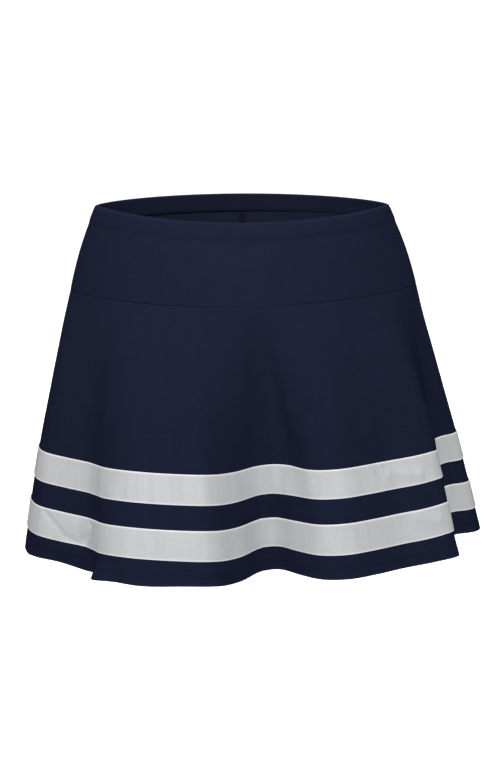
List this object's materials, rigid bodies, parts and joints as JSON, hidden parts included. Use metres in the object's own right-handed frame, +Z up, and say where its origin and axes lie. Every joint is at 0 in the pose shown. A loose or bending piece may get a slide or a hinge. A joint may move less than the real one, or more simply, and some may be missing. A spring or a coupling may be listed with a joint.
{
  "type": "cheer skort",
  "caption": "Pull-on cheer skort: wide knit yoke with an elastic waist casing, flared flounce with two applied stripes, and fitted shorts sewn in under the casing.",
  "frame": {"origin": "centre of the waist opening, level with the rim at the side seams", "axes": "+X towards the wearer's left, +Y towards the wearer's back, +Z up out of the waist"},
  "size_m": [0.4798, 0.3435, 0.3656],
  "materials": {
    "navy_knit": "matt heathered stretch knit",
    "navy_lining": "matt compression knit",
    "stripe_knit": "matt white-grey knit",
    "navy_thread": "polyester thread",
    "elastic": "woven elastic",
    "label": "blank satin ribbon"
  },
  "bodies": {
    "waist": {"casing_thread": "navy_thread", "leg_hem_thread_left": "navy_thread", "leg_hem_thread_right": "navy_thread", "shorts_back_left": "navy_lining", "shorts_back_right": "navy_lining", "shorts_back_seam": "navy_thread", "shorts_front_left": "navy_lining", "shorts_front_right": "navy_lining", "shorts_front_seam": "navy_thread", "shorts_side_seam_left": "navy_thread", "shorts_side_seam_right": "navy_thread", "waist_elastic": "elastic", "yoke_back": "navy_knit", "yoke_front": "navy_knit", "yoke_seam_overlock": "navy_thread", "yoke_side_seam_left": "navy_thread", "yoke_side_seam_right": "navy_thread"},
    "skirt": {"hem_thread": "navy_thread", "lower_stripe_back": "stripe_knit", "lower_stripe_front": "stripe_knit", "skirt_back": "navy_knit", "skirt_front": "navy_knit", "skirt_side_seam_left": "navy_thread", "skirt_side_seam_right": "navy_thread", "upper_stripe_back": "stripe_knit", "upper_stripe_front": "stripe_knit"},
    "label": {"care_label": "label"}
  },
  "joints": [
    {"name": "skirt_twirl", "type": "hinge", "parent": "waist", "child": "skirt", "pos_m": [0, 0, -0.086], "axis": [0, 0, 1], "range_deg": [-10, 10], "stiffness_Nm_per_rad": 0.05},
    {"name": "care_label_flip", "type": "hinge", "parent": "waist", "child": "label", "pos_m": [0.1475, -0.005, -0.051], "axis": [0, 0, -1], "range_deg": [0, 120], "stiffness_Nm_per_rad": 0.0002}
  ]
}
